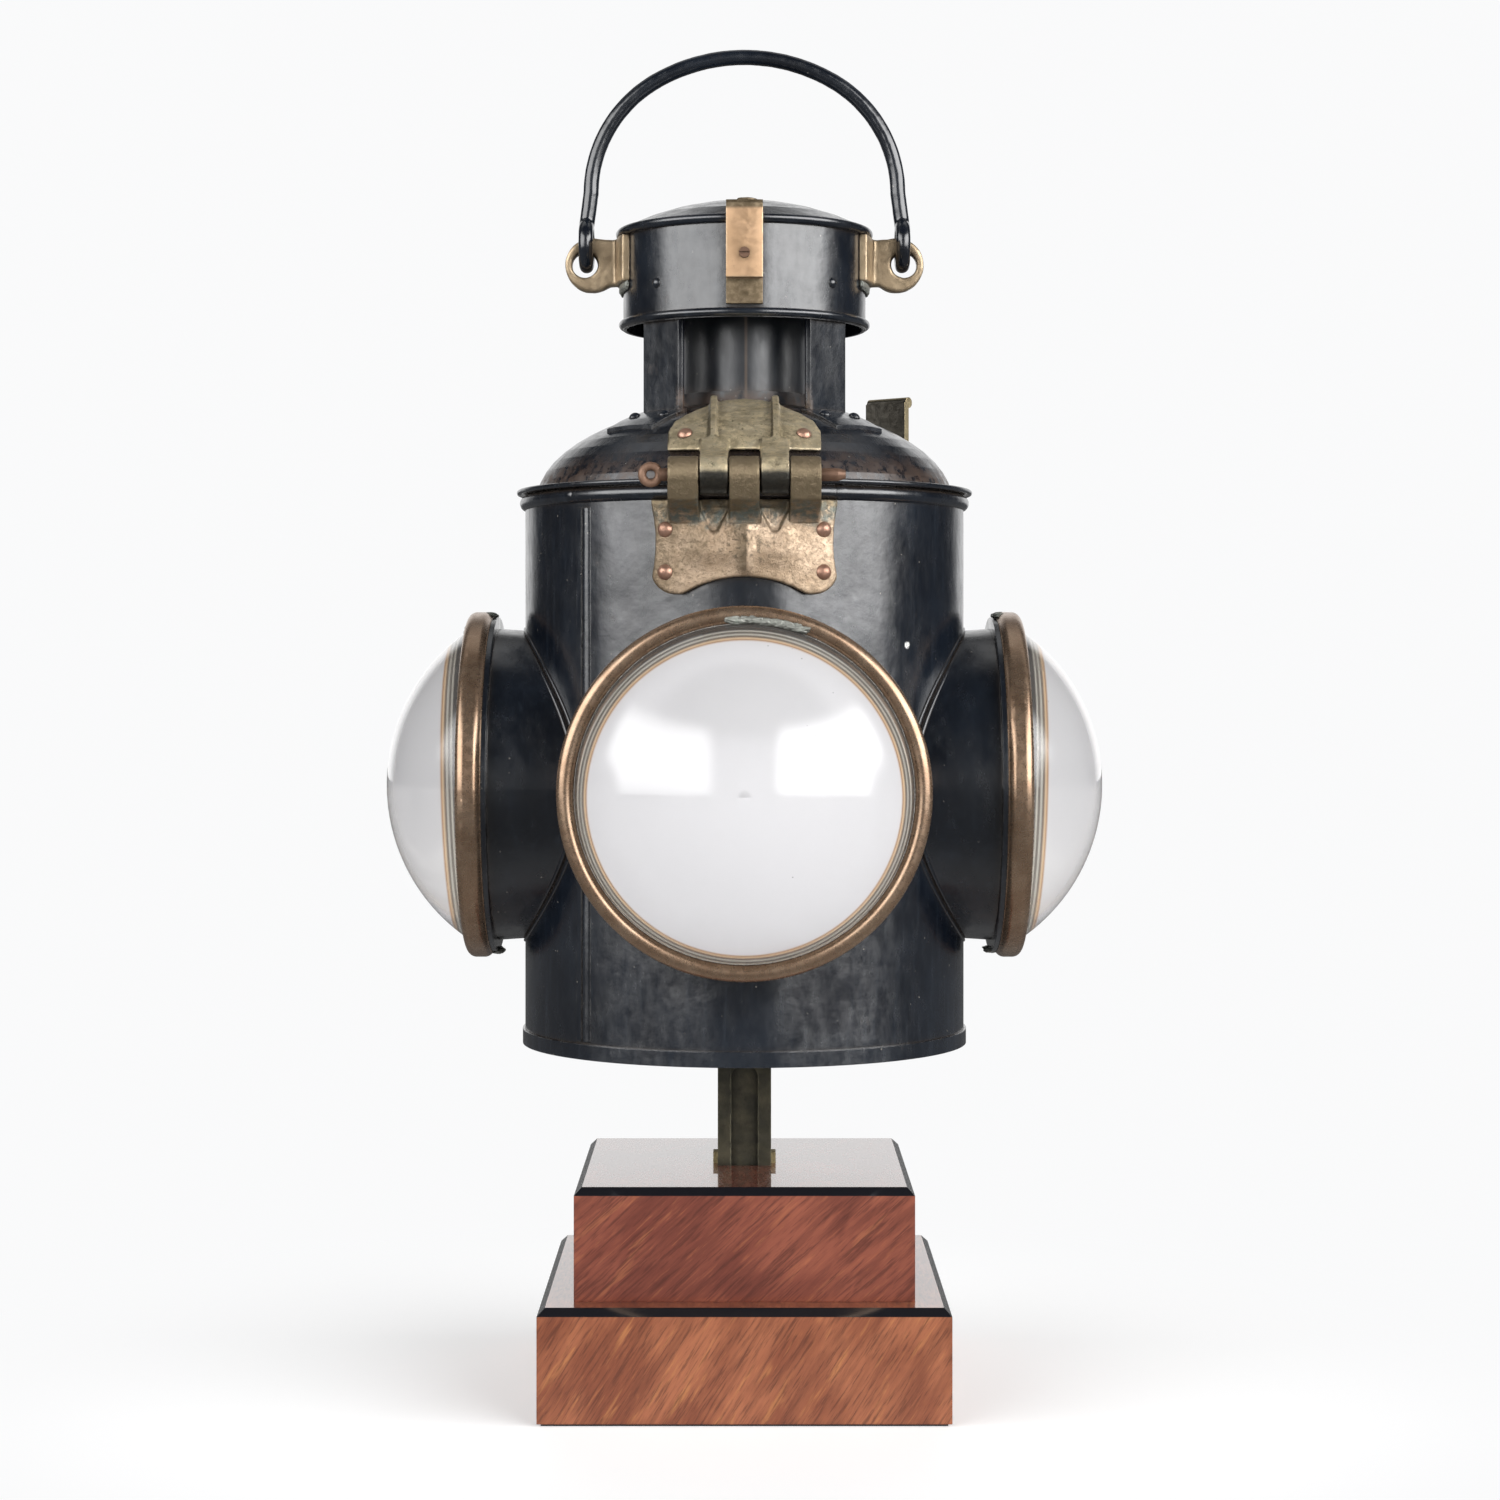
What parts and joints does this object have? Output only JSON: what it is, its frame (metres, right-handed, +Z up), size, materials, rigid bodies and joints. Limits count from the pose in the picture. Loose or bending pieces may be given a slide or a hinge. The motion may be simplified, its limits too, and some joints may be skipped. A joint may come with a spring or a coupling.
{
  "type": "railway lantern",
  "caption": "Railway signal lantern with bullseye lenses on each side, hinged lid, ventilated top and swinging bail, mounted on a stepped timber plinth.",
  "frame": {"origin": "centre of the plinth's underside", "axes": "+Z up; -Y is the hinge side; lenses look along -Y, +X, +Y and -X"},
  "size_m": [0.291, 0.291, 0.5427],
  "materials": {
    "felt": "matte",
    "wood_lower": "gloss",
    "wood_upper": "gloss",
    "black_iron": "satin",
    "steel": "satin",
    "wedge": "matte",
    "black_japan": "gloss",
    "glass": "clear",
    "packing": "matte",
    "bezel_brass": "satin",
    "hinge_bronze": "worn",
    "olive_brass": "aged",
    "copper_rivet": "worn",
    "pin_iron": "rusty",
    "clip_brass": "satin",
    "lug_brass": "aged",
    "tinplate": "satin",
    "burner_brass": "satin",
    "wick_cotton": "matte"
  },
  "bodies": {
    "root": {"felt_pad": "felt", "plinth_lower": "wood_lower", "plinth_upper": "wood_upper", "stem_bolt": "steel", "stem_washer": "steel", "stem": "black_iron", "stem_wedges": "wedge", "stem_rivets": "black_iron", "base_pan": "black_japan", "body_shell": "black_japan", "rim_bead": "black_japan", "lens_packing": "packing", "hinge_body_leaf": "hinge_bronze", "hinge_body_rivets": "copper_rivet", "hinge_pin": "pin_iron", "catch_bracket": "olive_brass", "catch_rivets": "copper_rivet", "catch_pin": "pin_iron", "oil_fount": "tinplate", "filler_cap": "burner_brass", "burner": "burner_brass", "burner_cone": "burner_brass", "hood_front": "black_japan", "lens_front": "glass", "bezel_front": "bezel_brass", "hood_right": "black_japan", "lens_right": "glass", "bezel_right": "bezel_brass", "hood_rear": "black_japan", "lens_rear": "glass", "bezel_rear": "bezel_brass", "hood_left": "black_japan", "lens_left": "glass", "bezel_left": "bezel_brass"},
    "lid": {"hinge_lid_leaf": "olive_brass", "hinge_lid_rivets": "copper_rivet", "lid_dome": "black_japan", "neck_tube": "black_japan", "neck_collar": "black_japan", "stanchion_front_right": "black_japan", "stanchion_rear_right": "black_japan", "stanchion_rear_left": "black_japan", "stanchion_front_left": "black_japan", "foot_rivets": "black_japan", "drum_rivets": "black_japan", "vent_drum": "black_japan", "vent_cap": "black_japan", "clip_front": "clip_brass", "clip_rear": "clip_brass", "clip_screws": "pin_iron", "lug_left": "lug_brass", "lug_right": "lug_brass"},
    "bail": {"bail": "black_japan"},
    "catch": {"catch_lever": "olive_brass"},
    "winder": {"wick_winder": "burner_brass"},
    "wick": {"wick": "wick_cotton"}
  },
  "joints": [
    {"name": "lid_hinge", "type": "hinge", "parent": "root", "child": "lid", "pos_m": [0, -0.1002, 0.3626], "axis": [1, 0, 0], "range_deg": [0, 110]},
    {"name": "bail_swing", "type": "hinge", "parent": "lid", "child": "bail", "pos_m": [0, 0, 0.4625], "axis": [1, 0, 0], "range_deg": [-130, 130]},
    {"name": "catch_swing", "type": "hinge", "parent": "root", "child": "catch", "pos_m": [0.06171, 0.07354, 0.348], "axis": [-0.766, 0.6428, 0], "range_deg": [0, 35]},
    {"name": "winder_turn", "type": "hinge", "parent": "root", "child": "winder", "pos_m": [0, -0.005, 0.184], "axis": [1, 0, 0], "range_deg": [0, 80]},
    {"name": "wick_lift", "type": "slide", "parent": "root", "child": "wick", "axis": [0, 0, 1], "range_m": [0, 0.0053]}
  ],
  "couplings": [
    {"joint": "wick_lift", "follows": "winder_turn", "m_per_rad": 0.0037}
  ]
}
